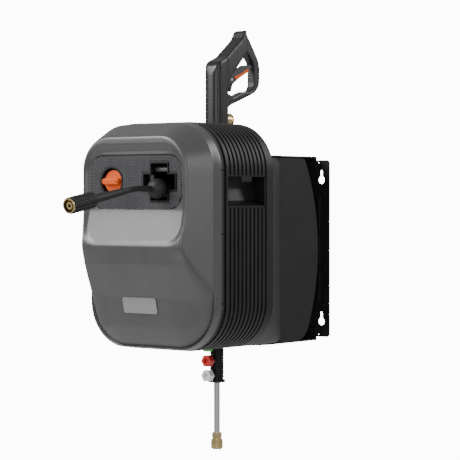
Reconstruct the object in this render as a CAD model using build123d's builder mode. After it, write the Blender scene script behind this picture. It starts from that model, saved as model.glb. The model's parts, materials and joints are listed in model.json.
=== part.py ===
# Wall-mounted pressure washer with a built-in hose reel, a swivel bracket, a gun with its wand, and spare nozzles.
# Units are millimetres. +Z up, +X to the right of someone facing the machine, +Y toward the wall, the front faces -Y.
# Origin: the centre of the back face of the wall plate.
from build123d import *
import math
import os

os.makedirs("parts", exist_ok=True)

# ------------------------------------------------------------------ driving dimensions
plate_hw, plate_hh, plate_t = 85.5, 180.25, 3.0
key_x, key_zu, key_zl, key_r, key_w, key_h = 66.0, 139.8, -148.6, 8.0, 7.0, 20.4
arm_hw, arm_t, arm_z = 54.4, 3.0, 184.6
piv_y, pin_r = -162.0, 8.0

body_w, body_h, body_cz, body_r = 312.0, 427.5, 30.75, 90.0     # ribbed band outline
cov_w, cov_h, cov_r = 306.0, 421.5, 87.0                        # cover outline at its rear edge
rim_w, rim_h, rim_r = 300.0, 420.0, 86.0                        # cover outline at its front rim
y_back, y_step, y_shoulder = 154.0, 219.0, 288.0                # depths in front of the wall
y_band, y_cov, y_rim, y_top = 431.0, 433.0, 462.0, 512.0
rear_hw, rear_top, rear_bot = 75.5, 182.0, -182.5
wall = 3.0

grille_w, grille_z0, grille_z1, grille_r = 225.0, 80.6, 183.4, 32.0
knob_x, knob_z = -58.5, 133.7
gate_x, gate_z = 58.5, 132.0
hose_x, hose_z, hose_r = 58.7, 119.6, 5.5
roll_y, roll_r = -489.0, 5.0
ball_y, ball_r = -512.0, 19.0
reel_y, reel_z = -365.0, 20.0

gun_x, gun_y = -98.5, -138.0
gun_bot = 205.0
pivot_y, pivot_z = -108.0, 345.0
wand_r = 6.25

# ------------------------------------------------------------------ wall bracket
with BuildPart() as wall_plate:
    with BuildSketch(Plane.XZ):
        RectangleRounded(2 * plate_hw, 2 * plate_hh, 7)
        for z0 in (key_zu, key_zl):
            with Locations((-key_x, z0), (key_x, z0)):
                Circle(key_r, mode=Mode.SUBTRACT)
            with Locations((-key_x, z0 + (key_h - key_w / 2) / 2), (key_x, z0 + (key_h - key_w / 2) / 2)):
                Rectangle(key_w, key_h - key_w / 2, mode=Mode.SUBTRACT)
            with Locations((-key_x, z0 + key_h - key_w / 2), (key_x, z0 + key_h - key_w / 2)):
                Circle(key_w / 2, mode=Mode.SUBTRACT)
        with Locations((-59, 175.5), (59, 175.5), (-59, -175.5), (59, -175.5)):
            Circle(1.75, mode=Mode.SUBTRACT)
    extrude(amount=plate_t)
wall_plate.part.label = "wall_plate"
export_step(wall_plate.part, "parts/wall_plate.step")

# ladder-shaped stiffening rail welded on the plate, low enough for the housing to swing past it
with BuildPart() as plate_rail:
    with BuildSketch(Plane.XZ.offset(plate_t)):
        with Locations((-60, -2), (60, -2)):
            Rectangle(6, 232)
        with Locations((0, 111), (0, 34), (0, -39.5), (0, -115)):
            Rectangle(150, 5)
    extrude(amount=4)
plate_rail.part.label = "plate_rail"
export_step(plate_rail.part, "parts/plate_rail.step")

with BuildPart() as upper_arm:
    with BuildSketch(Plane.XY.offset(arm_z)):
        with BuildLine():
            Polyline((-arm_hw, piv_y), (-arm_hw, -plate_t), (arm_hw, -plate_t), (arm_hw, piv_y))
            ThreePointArc((arm_hw, piv_y), (0, piv_y - arm_hw), (-arm_hw, piv_y))
        make_face()
        with Locations((0, piv_y)):
            Circle(pin_r, mode=Mode.SUBTRACT)
    extrude(amount=arm_t)
    with BuildSketch(Plane.XZ.offset(plate_t)):
        with Locations((0, arm_z + arm_t - 13)):
            Rectangle(2 * arm_hw, 26)
    extrude(amount=3)
upper_arm.part.label = "upper_arm"
export_step(upper_arm.part, "parts/upper_arm.step")

with BuildPart() as lower_arm:
    with BuildSketch(Plane.XY.offset(-arm_z - arm_t)):
        with BuildLine():
            Polyline((-arm_hw, piv_y), (-arm_hw, -plate_t), (arm_hw, -plate_t), (arm_hw, piv_y))
            ThreePointArc((arm_hw, piv_y), (0, piv_y - arm_hw), (-arm_hw, piv_y))
        make_face()
        with Locations((0, piv_y)):
            Circle(pin_r, mode=Mode.SUBTRACT)
    extrude(amount=arm_t)
    with BuildSketch(Plane.XZ.offset(plate_t)):
        with Locations((0, -arm_z - arm_t + 13)):
            Rectangle(2 * arm_hw, 26)
    extrude(amount=3)
lower_arm.part.label = "lower_arm"
export_step(lower_arm.part, "parts/lower_arm.step")

# two identical headed pins, the heads outside the arms
with BuildPart() as pivot_pins:
    for s in (1, -1):
        with BuildSketch(Plane(origin=(0, piv_y, s * 158), x_dir=(1, 0, 0), z_dir=(0, 0, s))):
            Circle(pin_r - 0.1)
        extrude(amount=arm_z + arm_t - 158)
        with BuildSketch(Plane(origin=(0, piv_y, s * (arm_z + arm_t)), x_dir=(1, 0, 0), z_dir=(0, 0, s))):
            Circle(13)
        extrude(amount=2.2)
pivot_pins.part.label = "pivot_pins"
export_step(pivot_pins.part, "parts/pivot_pins.step")

# two flanged bushes pressed into the housing, one on each pin
with BuildPart() as pivot_bushes:
    for s, face in ((1, rear_top), (-1, -rear_bot)):
        with BuildSketch(Plane(origin=(0, piv_y, s * 160), x_dir=(1, 0, 0), z_dir=(0, 0, s))):
            Circle(11.5)
            Circle(pin_r + 0.15, mode=Mode.SUBTRACT)
        extrude(amount=face - 160)
        with BuildSketch(Plane(origin=(0, piv_y, s * face), x_dir=(1, 0, 0), z_dir=(0, 0, s))):
            Circle(20)
            Circle(pin_r + 0.15, mode=Mode.SUBTRACT)
        extrude(amount=arm_z - face - 0.3)
pivot_bushes.part.label = "pivot_bushes"
export_step(pivot_bushes.part, "parts/pivot_bushes.step")

# ------------------------------------------------------------------ housing
# narrow rear housing with a bulging back, widened by a stepped shoulder to the ribbed band
with BuildPart() as rear_shell:
    with BuildSketch(Plane.XZ.offset(y_shoulder)):
        with Locations((0, body_cz)):
            RectangleRounded(body_w, body_h, body_r)
    with BuildSketch(Plane.XZ.offset(y_step)):
        with Locations((0, (rear_top + rear_bot) / 2)):
            RectangleRounded(238, rear_top - rear_bot, 45)
    loft()
    with BuildSketch(Plane.XZ.offset(y_step)):
        with Locations((0, (rear_top + rear_bot) / 2)):
            RectangleRounded(238, rear_top - rear_bot, 45)
    with BuildSketch(Plane.XZ.offset(y_back)):
        with Locations((0, (rear_top + rear_bot) / 2)):
            RectangleRounded(2 * rear_hw, rear_top - rear_bot, 12)
    loft()
    with BuildSketch(Plane.YZ) as rear_side:
        with BuildLine():
            Line((-y_back - 4, rear_top), (-74, rear_top))
            ThreePointArc((-74, rear_top), (-28, 0), (-74, rear_bot))
            Polyline((-74, rear_bot), (-y_back - 4, rear_bot), (-y_back - 4, rear_top))
        make_face()
        fillet(rear_side.vertices().sort_by(Axis.X)[-2:].sort_by(Axis.Y)[:1], 45)
        fillet(rear_side.vertices().filter_by_position(Axis.Y, rear_top - 1, rear_top + 1).sort_by(Axis.X)[-1:], 14)
    extrude(amount=rear_hw, both=True)
    try:
        fillet(rear_shell.edges().filter_by_position(Axis.Y, -148, -20).filter_by(lambda e: abs(abs(e.center().X) - rear_hw) < 0.5), 9)
    except Exception:
        pass
    # hollow inside
    with BuildSketch(Plane.XZ.offset(y_shoulder)):
        with Locations((0, body_cz)):
            RectangleRounded(body_w - 2 * wall, body_h - 2 * wall, body_r - wall)
    with BuildSketch(Plane.XZ.offset(y_step)):
        with Locations((0, (rear_top + rear_bot) / 2)):
            RectangleRounded(238 - 2 * wall, rear_top - rear_bot - 2 * wall, 45 - wall)
    loft(mode=Mode.SUBTRACT)
    with BuildSketch(Plane.XZ.offset(y_step)):
        with Locations((0, (rear_top + rear_bot) / 2)):
            RectangleRounded(238 - 2 * wall, rear_top - rear_bot - 2 * wall, 45 - wall)
    with BuildSketch(Plane.XZ.offset(y_back)):
        with Locations((0, (rear_top + rear_bot) / 2)):
            RectangleRounded(2 * rear_hw - 2 * wall, rear_top - rear_bot - 2 * wall, 12 - wall)
    loft(mode=Mode.SUBTRACT)
    with BuildSketch(Plane.YZ) as rear_in:
        with BuildLine():
            Line((-y_back - 1, rear_top - wall), (-76, rear_top - wall))
            ThreePointArc((-76, rear_top - wall), (-28 - wall, 0), (-76, rear_bot + wall))
            Polyline((-76, rear_bot + wall), (-y_back - 1, rear_bot + wall), (-y_back - 1, rear_top - wall))
        make_face()
        fillet(rear_in.vertices().sort_by(Axis.X)[-2:].sort_by(Axis.Y)[:1], 42)
        fillet(rear_in.vertices().filter_by_position(Axis.Y, rear_top - wall - 1, rear_top - wall + 1).sort_by(Axis.X)[-1:], 11)
    extrude(amount=rear_hw - wall, both=True, mode=Mode.SUBTRACT)
    # seats of the swivel bushes
    with BuildSketch(Plane.XY.offset(rear_bot - 5)):
        with Locations((0, piv_y)):
            Circle(11.5)
    extrude(amount=400, mode=Mode.SUBTRACT)
    # holes for the water inlet and the power cord gland, both on the left side
    with BuildSketch(Plane.YZ.offset(-rear_hw - 2)):
        with Locations((-95, -130)):
            Circle(11)
        with Locations((-95, -85)):
            Circle(7)
    extrude(amount=8, mode=Mode.SUBTRACT)
rear_shell.part.label = "rear_shell"
export_step(rear_shell.part, "parts/rear_shell.step")

# ribbed band: grooves run round the whole outline, the back 20 mm is smooth
with BuildPart() as mid_shell:
    with BuildSketch(Plane.XZ.offset(y_shoulder)):
        with Locations((0, body_cz)):
            RectangleRounded(body_w, body_h, body_r)
            RectangleRounded(body_w - 8, body_h - 8, body_r - 4, mode=Mode.SUBTRACT)
    extrude(amount=y_band - y_shoulder)
    for i in range(10):
        with BuildSketch(Plane.XZ.offset(308 + 12.1 * i)):
            with Locations((0, body_cz)):
                RectangleRounded(body_w + 4, body_h + 4, body_r + 2)
                RectangleRounded(body_w - 5, body_h - 5, body_r - 2.5, mode=Mode.SUBTRACT)
        extrude(amount=5.5, mode=Mode.SUBTRACT)
    with BuildSketch(Plane.XZ.offset(y_band - 4)):
        with Locations((0, body_cz)):
            RectangleRounded(body_w - 2, body_h - 2, body_r - 1)
            RectangleRounded(cov_w - 17, cov_h - 17, cov_r - 8.5, mode=Mode.SUBTRACT)
    extrude(amount=4)
    with BuildSketch(Plane.XZ.offset(y_band)):
        with Locations((0, body_cz)):
            RectangleRounded(cov_w - 9, cov_h - 9, cov_r - 4.5)
            RectangleRounded(cov_w - 17, cov_h - 17, cov_r - 8.5, mode=Mode.SUBTRACT)
    extrude(amount=14)
    # the windows of the two carrying-handle cups
    with BuildSketch(Plane.YZ.offset(-170)):
        with Locations((-369.5, 115)):
            RectangleRounded(117, 60, 8)
    extrude(amount=340, mode=Mode.SUBTRACT)
    # screw holes in the tongue
    for s in (1, -1):
        with BuildSketch(Plane(origin=(s * 140, 0, 0), x_dir=(0, s, 0), z_dir=(s, 0, 0))):
            with Locations(*[(-438.5 * s, z) for z in (154, 36.7, -92)]):
                Circle(2.5)
        extrude(amount=12, mode=Mode.SUBTRACT)
# the band is moulded as a right and a left half that meet on the middle plane
for half, keep in (("mid_shell_right", Keep.TOP), ("mid_shell_left", Keep.BOTTOM)):
    with BuildPart() as mid_half:
        add(mid_shell.part)
        split(bisect_by=Plane.YZ, keep=keep)
    mid_half.part.label = half
    export_step(mid_half.part, "parts/" + half + ".step")

# handle cups, mirror images, each an open-sided box with a sloped floor
with BuildPart() as handle_cup_right:
    with BuildSketch(Plane.YZ.offset(124)):
        with Locations((-369.5, 115)):
            RectangleRounded(117, 60, 8)
    extrude(amount=31.5)
    with BuildSketch(Plane.XZ.offset(314)):
        with BuildLine():
            Polyline((158, 142.5), (128.5, 142.5), (127, 120), (132, 98), (158, 87.5), (158, 142.5))
        make_face()
    extrude(amount=111, mode=Mode.SUBTRACT)
    with BuildSketch(Plane.XZ.offset(354)):
        with Locations((154.4, 138)):
            Rectangle(2.2, 10)
    extrude(amount=31)
handle_cup_right.part.label = "handle_cup_right"
export_step(handle_cup_right.part, "parts/handle_cup_right.step")

with BuildPart() as handle_cup_left:
    add(mirror(handle_cup_right.part, about=Plane.YZ, mode=Mode.PRIVATE))
handle_cup_left.part.label = "handle_cup_left"
export_step(handle_cup_left.part, "parts/handle_cup_left.step")

# ------------------------------------------------------------------ front cover
# side outline of the front: plateau, gentle lip below the grille, then the chin sloping back down
cover_side = [(-430, 260), (-y_top, 260), (-y_top, 80), (-521, 12), (-520, 2), (-516, -20), (-494.9, -82), (-480, -150), (-472, -166),
              (-y_rim, -181), (-430, -181), (-430, 260)]

with BuildPart() as cover_core:
    with BuildSketch(Plane.XZ.offset(430)):
        with Locations((0, body_cz)):
            RectangleRounded(cov_w - 6, cov_h - 6, cov_r - 3)
    with BuildSketch(Plane.XZ.offset(y_rim)):
        with Locations((0, body_cz)):
            RectangleRounded(rim_w - 6, rim_h - 6, rim_r - 3)
    loft()
    with BuildSketch(Plane.XZ.offset(y_rim)):
        with Locations((0, body_cz)):
            RectangleRounded(rim_w - 6, rim_h - 6, rim_r - 3)
    with BuildSketch(Plane.XZ.offset(530)):
        with Locations((0, body_cz)):
            RectangleRounded(236, 323, 57)
    loft()
    with BuildSketch(Plane.YZ):
        with BuildLine():
            Polyline((-425, 260), (-499, 260), (-499, 70), (-507, 20), (-507, -18), (-502, -30), (-474, -148), (-466, -162), (-458, -175),
                     (-425, -177), (-425, 260))
        make_face()
    extrude(amount=170, both=True, mode=Mode.INTERSECT)

with BuildPart() as front_cover:
    with BuildSketch(Plane.XZ.offset(y_cov)):
        with Locations((0, body_cz)):
            RectangleRounded(cov_w, cov_h, cov_r)
    with BuildSketch(Plane.XZ.offset(y_rim)):
        with Locations((0, body_cz)):
            RectangleRounded(rim_w, rim_h, rim_r)
    loft()
    with BuildSketch(Plane.XZ.offset(y_rim)):
        with Locations((0, body_cz)):
            RectangleRounded(rim_w, rim_h, rim_r)
    with BuildSketch(Plane.XZ.offset(530)):
        with Locations((0, body_cz)):
            RectangleRounded(242, 329, 60)
    loft()
    with BuildSketch(Plane.YZ):
        with BuildLine():
            Polyline(*cover_side)
        make_face()
    extrude(amount=170, both=True, mode=Mode.INTERSECT)
    # shallow dish round the grille, and the scoop that ramps forward below it
    with BuildSketch(Plane.XZ.offset(505)):
        with Locations((0, (grille_z0 + grille_z1) / 2)):
            RectangleRounded(grille_w, grille_z1 - grille_z0, grille_r)
    with BuildSketch(Plane.XZ.offset(513)):
        with Locations((0, 126)):
            RectangleRounded(255, 146, 50)
    loft(mode=Mode.SUBTRACT)
    with BuildSketch(Plane.YZ):
        with BuildLine():
            Polyline((-505, 120), (-505, grille_z0), (-519.5, 13), (-540, 13), (-540, 120), (-505, 120))
        make_face()
    extrude(amount=112.5, both=True, mode=Mode.SUBTRACT)
    add(cover_core.part, mode=Mode.SUBTRACT)
    # seat and window of the grille panel
    with BuildSketch(Plane.XZ.offset(502)):
        with Locations((0, (grille_z0 + grille_z1) / 2)):
            RectangleRounded(grille_w + 0.4, grille_z1 - grille_z0 + 0.4, grille_r)
    extrude(amount=4, mode=Mode.SUBTRACT)
    with BuildSketch(Plane.XZ.offset(490)):
        with Locations((0, (grille_z0 + grille_z1) / 2)):
            RectangleRounded(grille_w - 16, grille_z1 - grille_z0 - 6, grille_r - 4)
    extrude(amount=14, mode=Mode.SUBTRACT)
    # seat of the nameplate on the chin
    with BuildSketch(Plane(origin=(0, -492, -97), x_dir=(1, 0, 0), z_dir=(0, -0.9753, -0.2209))):
        RectangleRounded(82, 31, 5)
    extrude(amount=10, both=False, mode=Mode.SUBTRACT)
    # counterbored screw holes in the side walls
    for s in (1, -1):
        with BuildSketch(Plane(origin=(s * 145, 0, 0), x_dir=(0, s, 0), z_dir=(s, 0, 0))):
            with Locations(*[(-438.5 * s, z) for z in (154, 36.7, -92)]):
                Circle(2.6)
        extrude(amount=12, mode=Mode.SUBTRACT)
        with BuildSketch(Plane(origin=(s * 150.8, 0, 0), x_dir=(0, s, 0), z_dir=(s, 0, 0))):
            with Locations(*[(-438.5 * s, z) for z in (154, 36.7, -92)]):
                Circle(4.3)
        extrude(amount=6, mode=Mode.SUBTRACT)
front_cover.part.label = "front_cover"
export_step(front_cover.part, "parts/front_cover.step")

# six identical screws, three on each side
with BuildPart() as cover_screws:
    for s in (1, -1):
        with BuildSketch(Plane(origin=(s * 144, 0, 0), x_dir=(0, s, 0), z_dir=(s, 0, 0))):
            with Locations(*[(-438.5 * s, z) for z in (154, 36.7, -92)]):
                Circle(2.45)
        extrude(amount=6.8)
        with BuildSketch(Plane(origin=(s * 150.8, 0, 0), x_dir=(0, s, 0), z_dir=(s, 0, 0))):
            with Locations(*[(-438.5 * s, z) for z in (154, 36.7, -92)]):
                Circle(4)
                Rectangle(5, 1, mode=Mode.SUBTRACT)
        extrude(amount=1.6)
cover_screws.part.label = "cover_screws"
export_step(cover_screws.part, "parts/cover_screws.step")

with BuildPart() as grille_panel:
    with BuildSketch(Plane.XZ.offset(502)):
        with Locations((0, (grille_z0 + grille_z1) / 2)):
            RectangleRounded(grille_w, grille_z1 - grille_z0, grille_r)
        with Locations((knob_x, knob_z)):
            Circle(27.1, mode=Mode.SUBTRACT)
        with Locations((gate_x, gate_z)):
            Rectangle(43.4, 72, mode=Mode.SUBTRACT)
            Rectangle(79.4, 32.4, mode=Mode.SUBTRACT)
    extrude(amount=3)
grille_panel.part.label = "grille_panel"
export_step(grille_panel.part, "parts/grille_panel.step")

with BuildPart() as name_plate:
    with BuildSketch(Plane(origin=(0, -492, -97), x_dir=(1, 0, 0), z_dir=(0, -0.9753, -0.2209))):
        RectangleRounded(81.4, 30.4, 4.8)
    extrude(amount=1.4)
name_plate.part.label = "name_plate"
export_step(name_plate.part, "parts/name_plate.step")

# ------------------------------------------------------------------ switch knob
with BuildPart() as knob_cup:
    with BuildSketch(Plane.XZ.offset(490)):
        with Locations((knob_x, knob_z)):
            Circle(27)
    extrude(amount=16)
    with BuildSketch(Plane.XZ.offset(493)):
        with Locations((knob_x, knob_z)):
            Circle(24.8)
    extrude(amount=14, mode=Mode.SUBTRACT)
    with BuildSketch(Plane.XZ.offset(499)):
        with Locations((knob_x, knob_z)):
            Circle(31)
            Circle(26, mode=Mode.SUBTRACT)
    extrude(amount=3)
    with BuildSketch(Plane.XZ.offset(488)):
        with Locations((knob_x, knob_z)):
            Circle(4.2)
    extrude(amount=10, mode=Mode.SUBTRACT)
knob_cup.part.label = "knob_cup"
export_step(knob_cup.part, "parts/knob_cup.step")

with BuildPart() as knob:
    with BuildSketch(Plane.XZ.offset(493.4)):
        with Locations((knob_x, knob_z)):
            Circle(21.5)
    extrude(amount=7.6)
    with BuildSketch(Plane.XZ.offset(501)):
        with Locations((knob_x, knob_z)):
            SlotOverall(41, 12)
    extrude(amount=10)
    try:
        fillet(knob.edges().filter_by_position(Axis.Y, -511.2, -510.8), 2.5)
        fillet(knob.edges().filter_by_position(Axis.Y, -501.2, -500.8).filter_by(GeomType.CIRCLE).sort_by(SortBy.LENGTH)[-1:], 1.5)
    except Exception:
        pass
    with BuildSketch(Plane.XZ.offset(480)):
        with Locations((knob_x, knob_z)):
            Circle(4)
    extrude(amount=14)
    with BuildSketch(Plane.XZ.offset(508)):
        with Locations((knob_x + 16, knob_z)):
            Rectangle(6, 2)
    extrude(amount=5, mode=Mode.SUBTRACT)
knob.part.label = "knob"
export_step(knob.part, "parts/knob.step")

# ------------------------------------------------------------------ hose gate with four guide rollers
with BuildPart() as gate_frame:
    with BuildSketch(Plane.XZ.offset(478)):
        with Locations((gate_x, gate_z)):
            Rectangle(43, 71.6)
            Rectangle(79, 32)
    extrude(amount=29)
    with BuildSketch(Plane.XZ.offset(499)):
        with Locations((gate_x, gate_z)):
            Rectangle(50, 79)
            Rectangle(86, 40)
    extrude(amount=3)
    with BuildSketch(Plane.XZ.offset(476)):
        with Locations((gate_x, gate_z)):
            Rectangle(39.4, 68)
            Rectangle(75.4, 28.4)
    extrude(amount=40, mode=Mode.SUBTRACT)
    # seats of the roller pins
    for dz in (23.4, -23.4):
        with BuildSketch(Plane.YZ.offset(gate_x - 22.5)):
            with Locations((roll_y, gate_z + dz)):
                Circle(1.55)
        extrude(amount=45, mode=Mode.SUBTRACT)
    for dx in (31.5, -31.5):
        with BuildSketch(Plane.XY.offset(gate_z - 17)):
            with Locations((gate_x + dx, roll_y)):
                Circle(1.55)
        extrude(amount=34, mode=Mode.SUBTRACT)
gate_frame.part.label = "gate_frame"
export_step(gate_frame.part, "parts/gate_frame.step")

with BuildPart() as roller_top:
    with BuildSketch(Plane.YZ.offset(gate_x - 19.2)):
        with Locations((roll_y, gate_z + 23.4)):
            Circle(roll_r)
            Circle(1.7, mode=Mode.SUBTRACT)
    extrude(amount=38.4)
roller_top.part.label = "roller_top"
export_step(roller_top.part, "parts/roller_top.step")

with BuildPart() as roller_bottom:
    with BuildSketch(Plane.YZ.offset(gate_x - 19.2)):
        with Locations((roll_y, gate_z - 23.4)):
            Circle(roll_r)
            Circle(1.7, mode=Mode.SUBTRACT)
    extrude(amount=38.4)
roller_bottom.part.label = "roller_bottom"
export_step(roller_bottom.part, "parts/roller_bottom.step")

with BuildPart() as roller_left:
    with BuildSketch(Plane.XY.offset(gate_z - 13.7)):
        with Locations((gate_x - 31.5, roll_y)):
            Circle(roll_r)
            Circle(1.7, mode=Mode.SUBTRACT)
    extrude(amount=27.4)
roller_left.part.label = "roller_left"
export_step(roller_left.part, "parts/roller_left.step")

with BuildPart() as roller_right:
    with BuildSketch(Plane.XY.offset(gate_z - 13.7)):
        with Locations((gate_x + 31.5, roll_y)):
            Circle(roll_r)
            Circle(1.7, mode=Mode.SUBTRACT)
    extrude(amount=27.4)
roller_right.part.label = "roller_right"
export_step(roller_right.part, "parts/roller_right.step")

with BuildPart() as roller_pins:
    for dz in (23.4, -23.4):
        with BuildSketch(Plane.YZ.offset(gate_x - 21.3)):
            with Locations((roll_y, gate_z + dz)):
                Circle(1.5)
        extrude(amount=42.6)
    for dx in (31.5, -31.5):
        with BuildSketch(Plane.XY.offset(gate_z - 15.8)):
            with Locations((gate_x + dx, roll_y)):
                Circle(1.5)
        extrude(amount=31.6)
roller_pins.part.label = "roller_pins"
export_step(roller_pins.part, "parts/roller_pins.step")

# ------------------------------------------------------------------ hose, ball stop and hand nut
tail_a = math.radians(10.2)
arc_R = 330.0
p_out = -548.0
arc_dy, arc_dz = arc_R * math.sin(tail_a), arc_R * (1 - math.cos(tail_a))
tail_y, tail_z = p_out - arc_dy, hose_z - arc_dz
tail_dir = (0, -math.cos(tail_a), -math.sin(tail_a))
tail_len = (750.0 + tail_y) / math.cos(tail_a)
nut_len, boot_len = 61.0, 85.0
boot_s = tail_len - nut_len - boot_len


def on_tail(s):
    return (hose_x, tail_y + s * tail_dir[1], tail_z + s * tail_dir[2])


with BuildPart() as hose_run:
    with BuildLine():
        Line((hose_x, reel_y, hose_z), (hose_x, p_out, hose_z))
        ThreePointArc((hose_x, p_out, hose_z),
                      (hose_x, p_out - arc_R * math.sin(tail_a / 2), hose_z - arc_R * (1 - math.cos(tail_a / 2))),
                      (hose_x, tail_y, tail_z))
        Line((hose_x, tail_y, tail_z), on_tail(tail_len - nut_len + 12))
    with BuildSketch(Plane(origin=(hose_x, reel_y, hose_z), x_dir=(1, 0, 0), z_dir=(0, -1, 0))):
        Circle(hose_r)
        Circle(3.1, mode=Mode.SUBTRACT)
    sweep()
hose_run.part.label = "hose_run"
export_step(hose_run.part, "parts/hose_run.step")
print("hose bend radius", arc_R, "visible length", round(tail_len - nut_len + arc_R * tail_a + 548 - 531, 1), "boot starts", on_tail(boot_s))

# ball stop: two halves clamped round the hose
with BuildPart() as ball_whole:
    with Locations((hose_x, ball_y, hose_z)):
        Sphere(ball_r)
    with BuildSketch(Plane(origin=(hose_x, ball_y + 25, hose_z), x_dir=(1, 0, 0), z_dir=(0, -1, 0))):
        Circle(hose_r + 0.02)
    extrude(amount=50, mode=Mode.SUBTRACT)
    with BuildSketch(Plane.YZ.offset(hose_x - 20)):
        with Locations((ball_y, hose_z + 11.5), (ball_y, hose_z - 11.5)):
            Circle(1.8)
    extrude(amount=40, mode=Mode.SUBTRACT)
    with BuildSketch(Plane.YZ.offset(hose_x + 9)):
        with Locations((ball_y, hose_z + 11.5), (ball_y, hose_z - 11.5)):
            Circle(3.4)
    extrude(amount=12, mode=Mode.SUBTRACT)

with BuildPart() as ball_half_right:
    add(ball_whole.part)
    split(bisect_by=Plane.YZ.offset(hose_x + 0.1), keep=Keep.TOP)
ball_half_right.part.label = "ball_half_right"
export_step(ball_half_right.part, "parts/ball_half_right.step")

with BuildPart() as ball_half_left:
    add(ball_whole.part)
    split(bisect_by=Plane.YZ.offset(hose_x - 0.1), keep=Keep.BOTTOM)
ball_half_left.part.label = "ball_half_left"
export_step(ball_half_left.part, "parts/ball_half_left.step")

with BuildPart() as ball_screws:
    with BuildSketch(Plane.YZ.offset(hose_x - 10)):
        with Locations((ball_y, hose_z + 11.5), (ball_y, hose_z - 11.5)):
            Circle(1.75)
    extrude(amount=19.2)
    with BuildSketch(Plane.YZ.offset(hose_x + 9)):
        with Locations((ball_y, hose_z + 11.5), (ball_y, hose_z - 11.5)):
            Circle(3.2)
    extrude(amount=2.6)
ball_screws.part.label = "ball_screws"
export_step(ball_screws.part, "parts/ball_screws.step")

# tapered bend protector
with BuildPart() as hose_boot:
    with BuildSketch(Plane(origin=on_tail(boot_s), x_dir=(1, 0, 0), z_dir=tail_dir)):
        Circle(6.3)
    with BuildSketch(Plane(origin=on_tail(tail_len - nut_len), x_dir=(1, 0, 0), z_dir=tail_dir)):
        Circle(8.5)
    loft()
    with BuildSketch(Plane(origin=on_tail(boot_s - 1), x_dir=(1, 0, 0), z_dir=tail_dir)):
        Circle(hose_r + 0.02)
    extrude(amount=boot_len + 2, mode=Mode.SUBTRACT)
hose_boot.part.label = "hose_boot"
export_step(hose_boot.part, "parts/hose_boot.step")

# brass stem crimped on the hose, the hand nut turns on it
with BuildPart() as hose_stem:
    with BuildSketch(Plane(origin=on_tail(tail_len - nut_len), x_dir=(1, 0, 0), z_dir=tail_dir)):
        Circle(8.5)
        Circle(hose_r + 0.02, mode=Mode.SUBTRACT)
    extrude(amount=13)
    with BuildSketch(Plane(origin=on_tail(tail_len - nut_len + 13), x_dir=(1, 0, 0), z_dir=tail_dir)):
        Circle(8.5)
        Circle(3, mode=Mode.SUBTRACT)
    extrude(amount=14)
    with BuildSketch(Plane(origin=on_tail(tail_len - nut_len + 27), x_dir=(1, 0, 0), z_dir=tail_dir)):
        Circle(6.9)
        Circle(3, mode=Mode.SUBTRACT)
    extrude(amount=32)
hose_stem.part.label = "hose_stem"
export_step(hose_stem.part, "parts/hose_stem.step")

with BuildPart() as hand_nut:
    with BuildSketch(Plane(origin=on_tail(tail_len - nut_len + 1), x_dir=(1, 0, 0), z_dir=tail_dir)):
        Circle(15)
        with PolarLocations(15.6, 16):
            Circle(1.7, mode=Mode.SUBTRACT)
    extrude(amount=nut_len - 4)
    with BuildSketch(Plane(origin=on_tail(tail_len - nut_len), x_dir=(1, 0, 0), z_dir=tail_dir)):
        Circle(8.7)
    extrude(amount=nut_len, mode=Mode.SUBTRACT)
    with BuildSketch(Plane(origin=on_tail(tail_len - 34), x_dir=(1, 0, 0), z_dir=tail_dir)):
        Circle(12.6)
    extrude(amount=34, mode=Mode.SUBTRACT)
hand_nut.part.label = "hand_nut"
export_step(hand_nut.part, "parts/hand_nut.step")

# threaded brass sleeve inside the hand nut, its rim shows at the mouth
with BuildPart() as nut_sleeve:
    with BuildSketch(Plane(origin=on_tail(tail_len - 33.9), x_dir=(1, 0, 0), z_dir=tail_dir)):
        Circle(12.6)
        Circle(8.7, mode=Mode.SUBTRACT)
    extrude(amount=3)
    with BuildSketch(Plane(origin=on_tail(tail_len - 30.9), x_dir=(1, 0, 0), z_dir=tail_dir)):
        Circle(12.6)
        Circle(10.9, mode=Mode.SUBTRACT)
    extrude(amount=27.9)
    with BuildSketch(Plane(origin=on_tail(tail_len - 3), x_dir=(1, 0, 0), z_dir=tail_dir)):
        Circle(13.6)
        Circle(10.9, mode=Mode.SUBTRACT)
    extrude(amount=3)
nut_sleeve.part.label = "nut_sleeve"
export_step(nut_sleeve.part, "parts/nut_sleeve.step")

# ------------------------------------------------------------------ reel inside the housing
with BuildPart() as reel_drum:
    for x0 in (-93, 90):
        with BuildSketch(Plane.YZ.offset(x0)):
            with Locations((reel_y, reel_z)):
                Circle(120)
                Circle(12.3, mode=Mode.SUBTRACT)
        extrude(amount=3)
    with BuildSketch(Plane.YZ.offset(-90)):
        with Locations((reel_y, reel_z)):
            Circle(52)
            Circle(47, mode=Mode.SUBTRACT)
            Circle(16)
            Circle(12.3, mode=Mode.SUBTRACT)
    extrude(amount=180)
reel_drum.part.label = "reel_drum"
export_step(reel_drum.part, "parts/reel_drum.step")

# the wound hose: layers of turns on the drum
turns = []
for i in range(16):
    turns += [(-87.6 + 11 * i, reel_z + 90.5), (-85.6 + 11 * i, reel_z + 93.9), (-79.4 + 11 * i, reel_z + 93.9), (-77.4 + 11 * i, reel_z + 90.5)]
with BuildPart() as hose_pack:
    with BuildSketch(Plane.XZ.offset(-reel_y)):
        with BuildLine():
            Polyline(*([(-87.6, reel_z + 52.2)] + turns + [(87.6, reel_z + 52.2), (-87.6, reel_z + 52.2)]))
        make_face()
    revolve(axis=Axis((0, reel_y, reel_z), (1, 0, 0)))
hose_pack.part.label = "hose_pack"
export_step(hose_pack.part, "parts/hose_pack.step")

with BuildPart() as reel_axle:
    with BuildSketch(Plane.YZ.offset(-139)):
        with Locations((reel_y, reel_z)):
            Circle(12)
            Circle(6, mode=Mode.SUBTRACT)
    extrude(amount=243)
reel_axle.part.label = "reel_axle"
export_step(reel_axle.part, "parts/reel_axle.step")

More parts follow.
